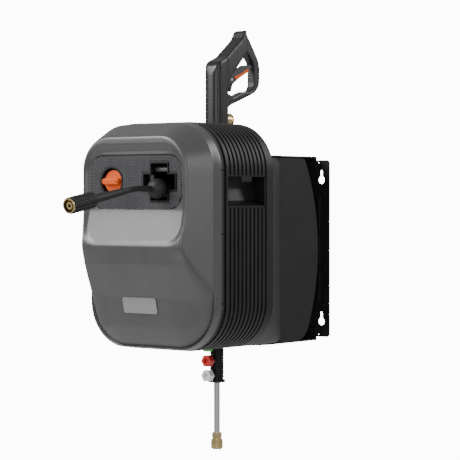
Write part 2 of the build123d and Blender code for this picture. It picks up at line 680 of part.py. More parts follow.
with BuildPart() as reel_frame:
    for x0 in (-99, 96):
        with BuildSketch(Plane.YZ.offset(x0)):
            with BuildLine():
                Polyline((-440, -150), (-290, -150), (reel_y + 28, 55), (reel_y - 28, 55), (-440, -150))
            make_face()
            with Locations((reel_y, reel_z)):
                Circle(12, mode=Mode.SUBTRACT)
        extrude(amount=3)
    with BuildSketch(Plane.XY.offset(-150)):
        with Locations((0, -365)):
            Rectangle(198, 150)
    extrude(amount=3)
    with BuildSketch(Plane.XY.offset(-179)):
        with Locations((-50, -365), (50, -365)):
            Rectangle(20, 110)
    extrude(amount=29)
reel_frame.part.label = "reel_frame"
export_step(reel_frame.part, "parts/reel_frame.step")

with BuildPart() as spring_cassette:
    with BuildSketch(Plane.YZ.offset(-132)):
        with Locations((reel_y, reel_z)):
            Circle(62)
            Circle(12, mode=Mode.SUBTRACT)
    extrude(amount=33)
spring_cassette.part.label = "spring_cassette"
export_step(spring_cassette.part, "parts/spring_cassette.step")

with BuildPart() as reel_swivel:
    with BuildSketch(Plane.YZ.offset(99)):
        with Locations((reel_y, reel_z)):
            Circle(20)
            Circle(12, mode=Mode.SUBTRACT)
    extrude(amount=6)
    with BuildSketch(Plane.YZ.offset(104)):
        with Locations((reel_y, reel_z)):
            Circle(15)
    extrude(amount=20)
    with BuildSketch(Plane.XZ.offset(-reel_y - 14)):
        with Locations((114, reel_z)):
            Circle(8)
    extrude(amount=-12)
reel_swivel.part.label = "reel_swivel"
export_step(reel_swivel.part, "parts/reel_swivel.step")

# ------------------------------------------------------------------ pump set inside the rear housing
with BuildPart() as pump_cradle:
    with BuildSketch(Plane.XY.offset(-62)):
        with Locations((0, -107)):
            Rectangle(2 * rear_hw - 2 * wall, 92)
        with Locations((0, -108)):
            Rectangle(80, 70, mode=Mode.SUBTRACT)
    extrude(amount=4)
    with BuildSketch(Plane.XY.offset(120)):
        with Locations((0, -107)):
            Rectangle(2 * rear_hw - 2 * wall, 92)
        with Locations((0, -108)):
            Circle(42.5, mode=Mode.SUBTRACT)
    extrude(amount=4)
pump_cradle.part.label = "pump_cradle"
export_step(pump_cradle.part, "parts/pump_cradle.step")

with BuildPart() as motor:
    with BuildSketch(Plane.XY.offset(-58)):
        with Locations((0, -108)):
            Circle(46)
            with PolarLocations(46.5, 24):
                Circle(2, mode=Mode.SUBTRACT)
    extrude(amount=178)
    with BuildSketch(Plane.XY.offset(120)):
        with Locations((0, -108)):
            Circle(42.4)
    extrude(amount=25)
motor.part.label = "motor"
export_step(motor.part, "parts/motor.step")

with BuildPart() as pump:
    with BuildSketch(Plane.XY.offset(-155)):
        with Locations((0, -108)):
            RectangleRounded(79, 69, 10)
    extrude(amount=97)
    with BuildSketch(Plane.XZ.offset(142)):
        with Locations((0, -110)):
            RectangleRounded(60, 60, 8)
    extrude(amount=26)
    with BuildSketch(Plane.XZ.offset(160)):
        with Locations((25, -100)):
            Circle(8)
    extrude(amount=12)
pump.part.label = "pump"
export_step(pump.part, "parts/pump.step")

# high pressure pipe from the pump to the reel swivel
with BuildPart() as feed_pipe:
    with BuildLine():
        FilletPolyline((114, reel_y + 26, reel_z), (114, -280, reel_z), (114, -280, -100), (25, -280, -100), (25, -172, -100), radius=24)
    with BuildSketch(Plane(origin=(114, reel_y + 26, reel_z), x_dir=(1, 0, 0), z_dir=(0, 1, 0))):
        Circle(5)
        Circle(3, mode=Mode.SUBTRACT)
    sweep()
feed_pipe.part.label = "feed_pipe"
export_step(feed_pipe.part, "parts/feed_pipe.step")
print("feed pipe bend radius 24")

with BuildPart() as water_inlet:
    with BuildSketch(Plane(origin=(-rear_hw, 0, 0), x_dir=(0, -1, 0), z_dir=(-1, 0, 0))):
        with Locations((95, -130)):
            Circle(18)
            Circle(9, mode=Mode.SUBTRACT)
    extrude(amount=4)
    with BuildSketch(Plane(origin=(-rear_hw - 4, 0, 0), x_dir=(0, -1, 0), z_dir=(-1, 0, 0))):
        with Locations((95, -130)):
            Circle(13.2)
            Circle(9, mode=Mode.SUBTRACT)
    extrude(amount=16)
    with BuildSketch(Plane(origin=(-rear_hw + 12, 0, 0), x_dir=(0, -1, 0), z_dir=(-1, 0, 0))):
        with Locations((95, -130)):
            Circle(10.9)
            Circle(9, mode=Mode.SUBTRACT)
    extrude(amount=12)
water_inlet.part.label = "water_inlet"
export_step(water_inlet.part, "parts/water_inlet.step")

with BuildPart() as cord_gland:
    with BuildSketch(Plane(origin=(-rear_hw, 0, 0), x_dir=(0, -1, 0), z_dir=(-1, 0, 0))):
        with Locations((95, -85)):
            RegularPolygon(12, 6)
            Circle(4.2, mode=Mode.SUBTRACT)
    extrude(amount=8)
    with BuildSketch(Plane(origin=(-rear_hw - 8, 0, 0), x_dir=(0, -1, 0), z_dir=(-1, 0, 0))):
        with Locations((95, -85)):
            Circle(8)
            Circle(4.2, mode=Mode.SUBTRACT)
    extrude(amount=8)
    with BuildSketch(Plane(origin=(-rear_hw + 10, 0, 0), x_dir=(0, -1, 0), z_dir=(-1, 0, 0))):
        with Locations((95, -85)):
            Circle(6.9)
            Circle(4.2, mode=Mode.SUBTRACT)
    extrude(amount=10)
cord_gland.part.label = "cord_gland"
export_step(cord_gland.part, "parts/cord_gland.step")

# ------------------------------------------------------------------ gun store on the left side of the rear housing
with BuildPart() as wand_clips:
    for z0 in (70, -120):
        with BuildSketch(Plane.XY.offset(z0)):
            with Locations((-90.75, gun_y)):
                Rectangle(30.5, 22)
            with Locations((gun_x, gun_y)):
                Circle(6.7, mode=Mode.SUBTRACT)
            with Locations((gun_x - 6, gun_y)):
                Rectangle(12, 13.2, mode=Mode.SUBTRACT)
        extrude(amount=18)
wand_clips.part.label = "wand_clips"
export_step(wand_clips.part, "parts/wand_clips.step")

with BuildPart() as gun_rest:
    with BuildSketch(Plane.XY.offset(197)):
        with Locations((-97, -138)):
            RectangleRounded(43, 42, 5)
        with Locations((gun_x, gun_y)):
            Circle(7.5, mode=Mode.SUBTRACT)
        with Locations((gun_x - 11, gun_y)):
            Rectangle(22, 15, mode=Mode.SUBTRACT)
    extrude(amount=7.7)
    with BuildSketch(Plane.YZ.offset(-rear_hw - 4)):
        with Locations((-133, 169)):
            Rectangle(32, 60)
    extrude(amount=4)
gun_rest.part.label = "gun_rest"
export_step(gun_rest.part, "parts/gun_rest.step")

# ------------------------------------------------------------------ gun: trigger guard, and two half shells split on the middle plane
with BuildPart() as trigger_guard:
    with BuildSketch(Plane.YZ.offset(gun_x - 9.5)):
        with BuildLine():
            # the inside of the loop is relieved so that the finger space above the bar stays clear
            Polyline((-51, 406.5), (-57, 448), (-48, 440), (-36, 425), (-21, 406), (-9.5, 389), (-5.5, 375), (-5, 347), (-9, 334),
                     (-20, 323), (-36, 316), (-58, 308.5), (-103, 293), (-115, 286), (-126, 286), (-126, 316), (-106, 316), (-101, 311),
                     (-94, 309.5), (-57, 322.9), (-37.4, 322.9), (-30, 328), (-25, 336), (-24.5, 342), (-25, 372), (-29.5, 384.5),
                     (-51, 406.5))
        make_face()
    extrude(amount=19)
    try:
        fillet(trigger_guard.edges().filter_by(lambda e: abs(abs(e.center().X - gun_x) - 9.5) < 0.3 and e.center().Y > -104), 3.5)
    except Exception:
        pass
    with BuildSketch(Plane.YZ.offset(gun_x - 7.2)):
        with BuildLine():
            Polyline((-118, 318), (-96, 318), (-96, 306), (-118, 306), (-118, 318))
        make_face()
        with Locations((pivot_y, pivot_z)):
            Circle(29)
    extrude(amount=14.4, mode=Mode.SUBTRACT)

with BuildPart() as gun_whole:
    # barrel, round-cornered
    with BuildSketch(Plane.XY.offset(gun_bot)):
        with Locations((gun_x, gun_y)):
            RectangleRounded(38, 46, 14)
    extrude(amount=390 - gun_bot)
    with BuildSketch(Plane.YZ.offset(gun_x - 25)):
        with BuildLine():
            Polyline((-175, 200), (-175, 340), (-161, 356), (-157, 371), (-149, 380), (-127, 389), (-110, 390), (-110, 200), (-175, 200))
        make_face()
    extrude(amount=50, mode=Mode.INTERSECT)
    # grip leaning toward the wall
    with BuildSketch(Plane.YZ.offset(gun_x - 16)):
        with BuildLine():
            Polyline((-145, 330), (-145, 381.7), (-127, 389), (-74, 430), (-65, 446), (-57, 450), (-51, 406.5), (-105, 355), (-106, 330),
                     (-145, 330))
        make_face()
    extrude(amount=32)
    try:
        fillet(gun_whole.edges().filter_by(lambda e: abs(abs(e.center().X - gun_x) - 16) < 0.3 and e.center().Z > 384 and e.center().Y > -125), 8)
    except Exception:
        pass
    # slot for the trigger root and its pin
    with BuildSketch(Plane.YZ.offset(gun_x - 7.2)):
        with Locations((pivot_y, pivot_z)):
            Circle(12.5)
        with BuildLine():
            Polyline((-108, 330), (-92, 318), (-92, 362), (-104, 358), (-108, 330))
        make_face()
    extrude(amount=14.4, mode=Mode.SUBTRACT)
    with BuildSketch(Plane.YZ.offset(gun_x - 20)):
        with Locations((pivot_y, pivot_z)):
            Circle(3)
    extrude(amount=40, mode=Mode.SUBTRACT)
    # sockets of the wand and of the hose inlet
    with BuildSketch(Plane.XY.offset(gun_bot - 1)):
        with Locations((gun_x, gun_y)):
            Circle(wand_r + 0.03)
    extrude(amount=36, mode=Mode.SUBTRACT)
    with BuildSketch(Plane.XZ.offset(121)):
        with Locations((gun_x, 263)):
            Circle(12.5)
    extrude(amount=-20, mode=Mode.SUBTRACT)
    # shallow parting groove between the barrel and its nose
    with BuildSketch(Plane.XY.offset(248)):
        with Locations((gun_x, gun_y)):
            RectangleRounded(42, 50, 16)
            RectangleRounded(36, 44, 13, mode=Mode.SUBTRACT)
    extrude(amount=1.6, mode=Mode.SUBTRACT)
    add(trigger_guard.part, mode=Mode.SUBTRACT)

trigger_guard.part.label = "trigger_guard"
export_step(trigger_guard.part, "parts/trigger_guard.step")

with BuildPart() as gun_shell_right:
    add(gun_whole.part)
    split(bisect_by=Plane.YZ.offset(gun_x), keep=Keep.TOP)
gun_shell_right.part.label = "gun_shell_right"
export_step(gun_shell_right.part, "parts/gun_shell_right.step")

with BuildPart() as gun_shell_left:
    add(gun_whole.part)
    split(bisect_by=Plane.YZ.offset(gun_x), keep=Keep.BOTTOM)
gun_shell_left.part.label = "gun_shell_left"
export_step(gun_shell_left.part, "parts/gun_shell_left.step")

with BuildPart() as gun_inlet:
    with BuildSketch(Plane.XZ.offset(120.5)):
        with Locations((gun_x, 263)):
            Circle(12.4)
    extrude(amount=-23)
    with BuildSketch(Plane.XZ.offset(97)):
        with Locations((gun_x, 263)):
            Circle(8)
    extrude(amount=18, mode=Mode.SUBTRACT)
    with BuildSketch(Plane.XZ.offset(100.5)):
        with Locations((gun_x, 263)):
            Circle(13.6)
            Circle(8, mode=Mode.SUBTRACT)
    extrude(amount=-3)
gun_inlet.part.label = "gun_inlet"
export_step(gun_inlet.part, "parts/gun_inlet.step")

# trigger lever on a pin through both shells
with BuildPart() as trigger:
    with BuildSketch(Plane.YZ.offset(gun_x - 6.7)) as trigger_side:
        with BuildLine():
            Polyline((-100, 321), (-94, 336), (-77, 347), (-34, 371), (-31, 376), (-36, 379), (-49, 378), (-84, 364), (-104, 354),
                     (-112, 349), (-110, 338), (-103, 325), (-100, 321))
        make_face()
        with Locations((pivot_y, pivot_z)):
            Circle(8)
            Circle(3.1, mode=Mode.SUBTRACT)
    extrude(amount=13.4)
    # slot for the lock, open on the lower side
    with BuildSketch(Plane.YZ.offset(gun_x - 4.4)):
        with BuildLine():
            Polyline((-91, 335), (-91, 352), (-72, 361), (-52, 370), (-40, 370), (-36, 360), (-91, 335))
        make_face()
    extrude(amount=8.8, mode=Mode.SUBTRACT)
    with BuildSketch(Plane.YZ.offset(gun_x - 8)):
        with Locations((-86, 351)):
            Circle(1.5)
    extrude(amount=16, mode=Mode.SUBTRACT)
trigger.part.label = "trigger"
export_step(trigger.part, "parts/trigger.step")

with BuildPart() as trigger_pin:
    with BuildSketch(Plane.YZ.offset(gun_x - 15.5)):
        with Locations((pivot_y, pivot_z)):
            Circle(2.95)
    extrude(amount=31)
trigger_pin.part.label = "trigger_pin"
export_step(trigger_pin.part, "parts/trigger_pin.step")

# safety lock lever hinged in the trigger, with its small pin
with BuildPart() as trigger_lock:
    with BuildSketch(Plane.YZ.offset(gun_x - 4)):
        with BuildLine():
            Polyline((-89, 347), (-82, 346), (-60, 357), (-42, 366), (-44, 368.5), (-54, 368), (-74, 359), (-88, 353), (-89, 347))
        make_face()
    extrude(amount=8)
    with BuildSketch(Plane.YZ.offset(gun_x - 6.5)):
        with Locations((-86, 351)):
            Circle(1.4)
    extrude(amount=13)
trigger_lock.part.label = "trigger_lock"
export_step(trigger_lock.part, "parts/trigger_lock.step")

# ------------------------------------------------------------------ wand, nozzle holder, nozzles and quick coupler
with BuildPart() as wand_tube:
    with BuildSketch(Plane.XY.offset(-383)):
        with Locations((gun_x, gun_y)):
            Circle(wand_r)
            Circle(4, mode=Mode.SUBTRACT)
    extrude(amount=383 + 238)
wand_tube.part.label = "wand_tube"
export_step(wand_tube.part, "parts/wand_tube.step")

with BuildPart() as nozzle_holder:
    with BuildSketch(Plane.XY.offset(-272)):
        with Locations((gun_x, gun_y)):
            Circle(13.3)
    extrude(amount=100)
    for i in range(16):
        with BuildSketch(Plane.XY.offset(-262 + 5.4 * i)):
            with Locations((gun_x, gun_y)):
                Circle(14.4)
                Circle(12.5, mode=Mode.SUBTRACT)
        extrude(amount=2.6)
    with BuildSketch(Plane.XY.offset(-272)):
        with Locations((gun_x, gun_y)):
            Circle(17)
    extrude(amount=5)
    with BuildSketch(Plane.XZ.offset(140)):
        with Locations((gun_x, -197), (gun_x, -227), (gun_x, -257)):
            Circle(9.2)
    extrude(amount=19)
    with BuildSketch(Plane.XZ.offset(151)):
        with Locations((gun_x, -197), (gun_x, -227), (gun_x, -257)):
            Circle(6.5)
    extrude(amount=10, mode=Mode.SUBTRACT)
    with BuildSketch(Plane.XY.offset(-273)):
        with Locations((gun_x, gun_y)):
            Circle(wand_r + 0.03)
    extrude(amount=103, mode=Mode.SUBTRACT)
nozzle_holder.part.label = "nozzle_holder"
export_step(nozzle_holder.part, "parts/nozzle_holder.step")

with BuildPart() as nozzle_green:
    with BuildSketch(Plane.XZ.offset(152)):
        with Locations((gun_x, -197)):
            Circle(6.3)
    extrude(amount=10)
    with BuildSketch(Plane.XZ.offset(161.3)):
        with Locations((gun_x, -197)):
            RegularPolygon(12.6, 6)
    extrude(amount=12.7)
    with BuildSketch(Plane.XZ.offset(170)):
        with Locations((gun_x, -197)):
            Circle(5.5)
    extrude(amount=5, mode=Mode.SUBTRACT)
    with BuildSketch(Plane.XZ.offset(150)):
        with Locations((gun_x, -197)):
            Circle(1.2)
    extrude(amount=25, mode=Mode.SUBTRACT)
nozzle_green.part.label = "nozzle_green"
export_step(nozzle_green.part, "parts/nozzle_green.step")

with BuildPart() as nozzle_red:
    with Locations((0, 0, -30)):
        add(nozzle_green.part)
nozzle_red.part.label = "nozzle_red"
export_step(nozzle_red.part, "parts/nozzle_red.step")

with BuildPart() as nozzle_white:
    with Locations((0, 0, -60)):
        add(nozzle_green.part)
nozzle_white.part.label = "nozzle_white"
export_step(nozzle_white.part, "parts/nozzle_white.step")

with BuildPart() as coupler_body:
    with BuildSketch(Plane.XY.offset(-385)):
        with Locations((gun_x, gun_y)):
            RegularPolygon(10.9, 6)
    extrude(amount=10)
    with BuildSketch(Plane.XY.offset(-409)):
        with Locations((gun_x, gun_y)):
            Circle(9)
    extrude(amount=24)
    with BuildSketch(Plane.XY.offset(-383)):
        with Locations((gun_x, gun_y)):
            Circle(wand_r + 0.03)
    extrude(amount=9, mode=Mode.SUBTRACT)
    with BuildSketch(Plane.XY.offset(-410)):
        with Locations((gun_x, gun_y)):
            Circle(6)
    extrude(amount=21, mode=Mode.SUBTRACT)
    with BuildSketch(Plane.XY.offset(-395)):
        with Locations((gun_x, gun_y)):
            Circle(3.5)
    extrude(amount=13, mode=Mode.SUBTRACT)
coupler_body.part.label = "coupler_body"
export_step(coupler_body.part, "parts/coupler_body.step")

with BuildPart() as coupler_collar:
    with BuildSketch(Plane.XY.offset(-407)):
        with Locations((gun_x, gun_y)):
            Circle(12.25)
    extrude(amount=18)
    with BuildSketch(Plane.XY.offset(-393)):
        with Locations((gun_x, gun_y)):
            Circle(14)
            Circle(11.2, mode=Mode.SUBTRACT)
    extrude(amount=1.6, mode=Mode.SUBTRACT)
    with BuildSketch(Plane.XY.offset(-403.5)):
        with Locations((gun_x, gun_y)):
            Circle(14)
            Circle(11.4, mode=Mode.SUBTRACT)
    extrude(amount=1.2, mode=Mode.SUBTRACT)
    with BuildSketch(Plane.XY.offset(-408)):
        with Locations((gun_x, gun_y)):
            Circle(9.15)
    extrude(amount=20, mode=Mode.SUBTRACT)
coupler_collar.part.label = "coupler_collar"
export_step(coupler_collar.part, "parts/coupler_collar.step")
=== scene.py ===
import bpy, bmesh, math, json
from mathutils import Vector, Matrix


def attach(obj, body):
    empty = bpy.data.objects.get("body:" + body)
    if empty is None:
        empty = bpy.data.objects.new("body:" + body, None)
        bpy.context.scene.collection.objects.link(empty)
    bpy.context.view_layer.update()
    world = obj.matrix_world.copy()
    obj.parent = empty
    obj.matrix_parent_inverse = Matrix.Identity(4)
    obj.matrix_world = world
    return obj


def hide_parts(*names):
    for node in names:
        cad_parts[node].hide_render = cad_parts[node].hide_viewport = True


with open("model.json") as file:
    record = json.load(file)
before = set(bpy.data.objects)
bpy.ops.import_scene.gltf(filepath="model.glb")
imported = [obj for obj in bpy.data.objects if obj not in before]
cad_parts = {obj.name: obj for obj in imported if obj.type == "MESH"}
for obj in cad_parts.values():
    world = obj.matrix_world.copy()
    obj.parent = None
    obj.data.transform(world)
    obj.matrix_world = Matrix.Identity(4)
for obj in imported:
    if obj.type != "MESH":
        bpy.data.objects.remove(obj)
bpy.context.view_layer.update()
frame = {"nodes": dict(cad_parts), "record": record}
nodes = frame["nodes"]
scene = bpy.context.scene

# ------------------------------------------------------------------ camera
cam_data = bpy.data.cameras.new("camera")
cam = bpy.data.objects.new("camera", cam_data)
scene.collection.objects.link(cam)
cam_data.sensor_width = 36.0
cam_data.lens = 36.0 * 1900.0 / 460.0
cam_data.clip_end = 200
az, pitch = math.radians(38.0), math.atan(30.0 / 1900.0)
look = Vector((-math.sin(az) * math.cos(pitch), math.cos(az) * math.cos(pitch), -math.sin(pitch)))
cam.location = Vector((2.305, -3.171, 0.099))
cam.rotation_euler = look.to_track_quat("-Z", "Y").to_euler()
scene.camera = cam


def link(obj):
    scene.collection.objects.link(obj)
    return obj


# ------------------------------------------------------------------ materials
def material(name, color, rough=0.5, metallic=0.0, coat=0.0, coat_rough=0.2, grain=0.0, grain_scale=1500.0, vary=0.12,
             vary_scale=18.0, spec=0.5, stretch=None, rough_vary=0.08, dust=0.0):
    m = bpy.data.materials.new(name)
    m.use_nodes = True
    nt = m.node_tree
    nt.nodes.clear()
    out = nt.nodes.new("ShaderNodeOutputMaterial")
    bsdf = nt.nodes.new("ShaderNodeBsdfPrincipled")
    nt.links.new(bsdf.outputs[0], out.inputs[0])
    bsdf.inputs["Metallic"].default_value = metallic
    bsdf.inputs["Coat Weight"].default_value = coat
    bsdf.inputs["Coat Roughness"].default_value = coat_rough
    bsdf.inputs["Specular IOR Level"].default_value = spec
    tc = nt.nodes.new("ShaderNodeTexCoord")
    mp = nt.nodes.new("ShaderNodeMapping")
    nt.links.new(tc.outputs["Object"], mp.inputs[0])
    if stretch:
        mp.inputs["Scale"].default_value = stretch
    big = nt.nodes.new("ShaderNodeTexNoise")
    big.inputs["Scale"].default_value = vary_scale
    big.inputs["Detail"].default_value = 5.0
    nt.links.new(mp.outputs[0], big.inputs["Vector"])
    ramp = nt.nodes.new("ShaderNodeValToRGB")
    lo = [max(0.0, c * (1 - vary)) for c in color]
    hi = [min(1.0, c * (1 + vary) + dust * 0.02) for c in color]
    ramp.color_ramp.elements[0].position = 0.32
    ramp.color_ramp.elements[0].color = (*lo, 1)
    ramp.color_ramp.elements[1].position = 0.68
    ramp.color_ramp.elements[1].color = (*hi, 1)
    nt.links.new(big.outputs["Fac"], ramp.inputs[0])
    fine = nt.nodes.new("ShaderNodeTexNoise")
    fine.inputs["Scale"].default_value = grain_scale
    fine.inputs["Detail"].default_value = 3.0
    nt.links.new(mp.outputs[0], fine.inputs["Vector"])
    mix = nt.nodes.new("ShaderNodeMix")
    mix.data_type = "RGBA"
    mix.blend_type = "MULTIPLY"
    mix.inputs["Factor"].default_value = 0.18
    nt.links.new(ramp.outputs[0], mix.inputs["A"])
    nt.links.new(fine.outputs["Fac"], mix.inputs["B"])
    nt.links.new(mix.outputs["Result"], bsdf.inputs["Base Color"])
    mr = nt.nodes.new("ShaderNodeMapRange")
    mr.inputs["To Min"].default_value = max(0.02, rough - rough_vary)
    mr.inputs["To Max"].default_value = min(1.0, rough + rough_vary)
    nt.links.new(big.outputs["Fac"], mr.inputs["Value"])
    nt.links.new(mr.outputs[0], bsdf.inputs["Roughness"])
    if grain > 0:
        bump = nt.nodes.new("ShaderNodeBump")
        bump.inputs["Strength"].default_value = grain
        bump.inputs["Distance"].default_value = 0.0004
        nt.links.new(fine.outputs["Fac"], bump.inputs["Height"])
        nt.links.new(bump.outputs[0], bsdf.inputs["Normal"])
    return m


mats = {
    "black_steel": material("m_black_steel", (0.012, 0.012, 0.013), rough=0.38, grain=0.35, grain_scale=2600, coat=0.15, coat_rough=0.35),
    "shell_dark": material("m_shell_dark", (0.012, 0.012, 0.014), spec=0.35, rough=0.46, grain=0.16, grain_scale=2200),
    "cover_grey": material("m_cover_grey", (0.112, 0.112, 0.113), rough=0.33, metallic=0.35, grain=0.16, grain_scale=3000, vary=0.05, coat=0.2, coat_rough=0.3),
    "grille_dark": material("m_grille_dark", (0.022, 0.022, 0.025), rough=0.5, metallic=0.2, grain=0.3, grain_scale=1800),
    "orange": material("m_orange", (0.90, 0.12, 0.006), spec=0.3, rough=0.46, grain=0.12, grain_scale=2500, vary=0.05, coat=0.15),
    "black_plastic": material("m_black_plastic", (0.010, 0.010, 0.011), spec=0.3, rough=0.4, grain=0.25, grain_scale=2400),
    "roller_grey": material("m_roller_grey", (0.13, 0.13, 0.14), rough=0.28, grain=0.1),
    "rubber_black": material("m_rubber_black", (0.011, 0.011, 0.012), rough=0.55, grain=0.35, grain_scale=1600),
    "hose_black": material("m_hose_black", (0.022, 0.022, 0.024), rough=0.42, grain=0.4, grain_scale=1200),
    "brass": material("m_brass", (0.95, 0.72, 0.34), rough=0.24, metallic=1.0, grain=0.05, grain_scale=1400, stretch=(1, 1, 9), vary=0.1),
    "steel": material("m_steel", (0.74, 0.74, 0.76), rough=0.26, metallic=1.0, grain=0.04, grain_scale=700, stretch=(4, 4, 0.25), vary=0.08),
    "zinc_screw": material("m_zinc", (0.22, 0.22, 0.23), rough=0.4, metallic=1.0, grain=0.2),
    "silver_plate": material("m_silver_plate", (0.50, 0.50, 0.51), rough=0.34, metallic=0.9, grain=0.25, grain_scale=900, stretch=(0.08, 1, 3), vary=0.06),
    "gun_dark": material("m_gun_dark", (0.011, 0.011, 0.013), rough=0.34, grain=0.14, grain_scale=2200, coat=0.1),
    "trigger_grey": material("m_trigger_grey", (0.05, 0.05, 0.055), rough=0.34, grain=0.2),
    "green": material("m_green", (0.035, 0.58, 0.07), rough=0.35, grain=0.12, vary=0.06, coat=0.2),
    "red": material("m_red", (0.70, 0.035, 0.035), rough=0.35, grain=0.12, vary=0.06, coat=0.2),
    "white": material("m_white", (0.92, 0.92, 0.91), rough=0.38, grain=0.12, vary=0.03, coat=0.2),
    "reel_grey": material("m_reel_grey", (0.06, 0.06, 0.065), rough=0.5, grain=0.25),
    "motor_grey": material("m_motor_grey", (0.10, 0.11, 0.12), rough=0.45, grain=0.4),
}
slot_of = {s["node"]: s["material_slot"] for s in frame["record"]["subparts"]}
for n, o in nodes.items():
    o.data.materials.clear()
    o.data.materials.append(mats[slot_of[n]])


def give(o, slot, body):
    o.data.materials.clear()
    o.data.materials.append(mats[slot])
    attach(o, body)
    return o


# ------------------------------------------------------------------ hose, from the reel through the gate to the hand nut
HX = 0.0587
tail = math.radians(10.2)
end_y, end_z = -0.750, 0.088554
cut = 0.049                                   # the hose ends this far inside the hand nut's mouth
p_end = (HX, end_y + cut * math.cos(tail), end_z + cut * math.sin(tail))
route = [
    (HX, -0.365, 0.1196), (HX, -0.480, 0.1196), (HX, -0.548, 0.1196), (HX, -0.5772, 0.1196),
    (HX, -0.6260, 0.1108), p_end,
]
cu = bpy.data.curves.new("hose", "CURVE")
cu.dimensions = "3D"
sp = cu.splines.new("NURBS")
sp.points.add(len(route) - 1)
for p, c in zip(sp.points, route):
    p.co = (*c, 1)
sp.order_u = 3
sp.use_endpoint_u = True
sp.resolution_u = 16
cu.bevel_depth = 0.0055
cu.bevel_resolution = 8
cu.use_fill_caps = True
hose = link(bpy.data.objects.new("hose", cu))
give(hose, "hose_black", "hose")
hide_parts("hose_run")


# ------------------------------------------------------------------ softened edges on the moulded and cast CAD pieces
def soften(name, width, angle=28, segments=3):
    o = nodes[name]
    b = o.modifiers.new("edge", "BEVEL")
    b.width = width
    b.segments = segments
    b.limit_method = "ANGLE"
    b.angle_limit = math.radians(angle)
    b.harden_normals = False
    return o



for name, width, angle in (
        ("trigger", 0.0014, 30),
        ("knob", 0.0012, 35), ("upper_arm", 0.0007, 35), ("lower_arm", 0.0007, 35), ("wall_plate", 0.0006, 40),
        ("plate_rail", 0.0006, 40), ("gate_frame", 0.0010, 35), ("name_plate", 0.0005, 40), ("wand_clips", 0.0008, 35),
        ("nozzle_green", 0.0006, 35), ("nozzle_red", 0.0006, 35), ("nozzle_white", 0.0006, 35), ("coupler_collar", 0.0005, 35),
        ("handle_cup_right", 0.0010, 35), ("handle_cup_left", 0.0010, 35)):
    if name in nodes:
        soften(name, width, angle)


def moulded(label, names, slot, body, voxel, turns):
    """one smooth body with generous radii, standing for the moulded halves it is made of"""
    have = [n for n in names if n in nodes]
    bm = bmesh.new()
    for n in have:
        part = bmesh.new()
        part.from_mesh(nodes[n].data)
        part.transform(nodes[n].matrix_world)
        tmp = bpy.data.meshes.new("tmp")
        part.to_mesh(tmp)
        part.free()
        bm.from_mesh(tmp)
        bpy.data.meshes.remove(tmp)
    me = bpy.data.meshes.new(label)
    bm.to_mesh(me)
    bm.free()
    o = link(bpy.data.objects.new(label, me))
    r = o.modifiers.new("skin", "REMESH")
    r.mode = "VOXEL"
    r.voxel_size = voxel
    r.use_smooth_shade = True
    m = o.modifiers.new("relax", "SMOOTH")
    m.factor = 0.5
    m.iterations = turns
    give(o, slot, body)
    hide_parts(*have)
    return o


moulded("gun_body", ("gun_shell_right", "gun_shell_left"), "gun_dark", "gun", 0.0014, 36)
moulded("guard_body", ("trigger_guard",), "gun_dark", "gun", 0.0012, 8)


# orange safety catch: two thin cheeks just outside the trigger's sides, on the ends of the lock's cross pin
def catch():
    outline = [(-89, 353), (-84, 354.5), (-72, 358), (-58, 364.5), (-45, 371), (-42, 368), (-43, 364.5), (-58, 357), (-74, 349.5),
               (-83, 347), (-88, 348)]
    bm = bmesh.new()
    for side in (-1, 1):
        a = [bm.verts.new((-0.0985 + side * 0.0070, y / 1000, z / 1000)) for y, z in outline]
        b = [bm.verts.new((-0.0985 + side * 0.0080, y / 1000, z / 1000)) for y, z in outline]
        bm.faces.new(a)
        bm.faces.new(b[::-1])
        for i in range(len(outline)):
            j = (i + 1) % len(outline)
            bm.faces.new((a[i], b[i], b[j], a[j]))
    bmesh.ops.recalc_face_normals(bm, faces=bm.faces)
    me = bpy.data.meshes.new("trigger_catch")
    bm.to_mesh(me)
    bm.free()
    o = link(bpy.data.objects.new("trigger_catch", me))
    e = o.modifiers.new("edge", "BEVEL")
    e.width = 0.0003
    e.segments = 2
    give(o, "orange", "trigger_lock")
    stub = bmesh.new()
    for side in (-1, 1):
        m = Matrix.Translation((-0.0985 + side * 0.00675, -0.086, 0.351)) @ Matrix.Rotation(math.radians(90), 4, "Y")
        bmesh.ops.create_cone(stub, cap_ends=True, segments=20, radius1=0.0013, radius2=0.0013, depth=0.0008, matrix=m)
    sm = bpy.data.meshes.new("catch_stubs")
    stub.to_mesh(sm)
    stub.free()
    give(link(bpy.data.objects.new("catch_stubs", sm)), "orange", "trigger_lock")


catch()

# ------------------------------------------------------------------ helpers for smooth shapes
def smin(a, b, k):
    h = max(0.0, min(1.0, 0.5 + 0.5 * (b - a) / k))
    return b + (a - b) * h - k * h * (1 - h)


def smax(a, b, k):
    return -smin(-a, -b, k)


def step(t):
    t = max(0.0, min(1.0, t))
    return t * t * (3 - 2 * t)


def inset(x, z, hw, z0, z1, r_top, r_bot):
    """distance inside a rounded rectangle, in millimetres"""
    r = r_top if z > (z0 + z1) / 2 else r_bot
    cz = (z0 + z1) / 2
    qx, qz = abs(x) - hw + r, abs(z - cz) - (z1 - z0) / 2 + r
    return -(math.hypot(max(qx, 0), max(qz, 0)) + min(max(qx, qz), 0) - r)


def smooth_shade(o, angle=40):
    for p in o.data.polygons:
        p.use_smooth = True
    return o


def to_object(bm, name):
    me = bpy.data.meshes.new(name)
    bm.to_mesh(me)
    bm.free()
    return link(bpy.data.objects.new(name, me))


# ------------------------------------------------------------------ front cover: one smooth moulded skin
RIM = dict(hw=150.0, z0=-179.3, z1=240.8, r=86.0)


